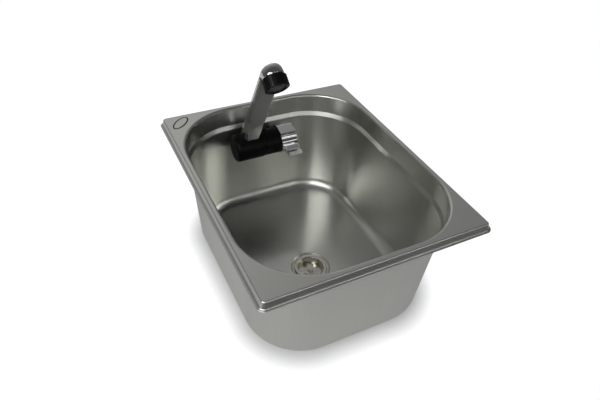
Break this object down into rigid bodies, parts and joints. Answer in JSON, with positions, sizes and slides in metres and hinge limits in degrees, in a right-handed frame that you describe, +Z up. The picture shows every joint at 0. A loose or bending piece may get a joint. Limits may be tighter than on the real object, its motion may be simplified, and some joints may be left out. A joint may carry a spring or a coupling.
{
  "type": "camping sink",
  "caption": "Rectangular drop-in steel sink bowl with a raised rim, a strainer waste in its base and a fold-down cold tap with a side lever on its back wall.",
  "frame": {"origin": "centre of the worktop cut-out, on the worktop's surface where the lip of the rim rests", "axes": "+X to the right along the short front edge, +Y from the front edge to the wall with the tap, +Z up"},
  "size_m": [0.265, 0.3536, 0.2877],
  "materials": {
    "stainless_steel": "deep-drawn stainless sheet with a fine satin brush",
    "drain_metal": "polished nickel-coloured steel",
    "screw_steel": "plain turned steel",
    "brass": "turned brass",
    "rubber": "matt black rubber",
    "drain_plastic": "pale grey moulded plastic",
    "tap_plastic": "satin black moulded plastic",
    "fixing_plastic": "dark grey moulded plastic",
    "chrome": "bright chrome plate on a zinc casting",
    "spray_plastic": "dark grey moulded plastic",
    "valve_plastic": "natural white acetal",
    "switch_plastic": "black moulded switch case",
    "plunger_plastic": "red moulded button"
  },
  "bodies": {
    "sink": {"basin": "stainless_steel", "drain_flange": "drain_metal", "drain_strainer": "drain_metal", "drain_screw": "drain_metal", "retaining_washer": "screw_steel", "pivot_screw": "screw_steel", "switch_screws": "screw_steel", "pivot_tube": "brass", "drain_insert": "brass", "valve_bonnet": "brass", "drain_top_gasket": "rubber", "drain_bottom_gasket": "rubber", "tap_wall_gasket": "rubber", "pivot_seals": "rubber", "tap_back_washer": "rubber", "drain_body": "drain_plastic", "tap_body": "tap_plastic", "tap_threaded_tail": "fixing_plastic", "tap_lock_nut": "fixing_plastic", "hose_nozzle": "fixing_plastic", "switch_carrier": "valve_plastic", "microswitch": "switch_plastic"},
    "spout_arm": {"spout_sleeve": "tap_plastic", "sleeve_end_cap": "tap_plastic", "spout": "chrome", "spout_seal": "rubber", "spout_grub_screw": "screw_steel"},
    "spray_pack": {"spray_disc": "spray_plastic", "nozzle_gasket": "rubber"},
    "nozzle": {"nozzle_ring": "tap_plastic"},
    "lever": {"lever": "chrome", "lever_screw": "screw_steel", "lever_cap": "chrome", "valve_spindle": "valve_plastic", "valve_seal": "rubber", "switch_cam": "valve_plastic"},
    "plunger": {"switch_plunger": "plunger_plastic"}
  },
  "joints": [
    {"name": "spout_fold", "type": "hinge", "parent": "sink", "child": "spout_arm", "pos_m": [0, 0.12491, -0.037], "axis": [1, 0, 0], "range_deg": [0, 62]},
    {"name": "nozzle_draw", "type": "slide", "parent": "spout_arm", "child": "spray_pack", "axis": [0, -0.788, -0.6157], "range_m": [0, 0.002]},
    {"name": "nozzle_turn", "type": "hinge", "parent": "spray_pack", "child": "nozzle", "pos_m": [-0.0233, 0.05727, 0.0969], "axis": [0, -0.788, -0.6157], "range_deg": [0, 720]},
    {"name": "lever_turn", "type": "hinge", "parent": "sink", "child": "lever", "pos_m": [0, 0.12491, -0.037], "axis": [-1, 0, 0], "range_deg": [0, 80]},
    {"name": "switch_press", "type": "slide", "parent": "sink", "child": "plunger", "axis": [0, 0, -1], "range_m": [0, 0.0008]}
  ],
  "couplings": [
    {"joint": "nozzle_draw", "follows": "nozzle_turn", "m_per_rad": 0.00015915},
    {"joint": "switch_press", "follows": "lever_turn", "m_per_rad": 0.00057296}
  ]
}
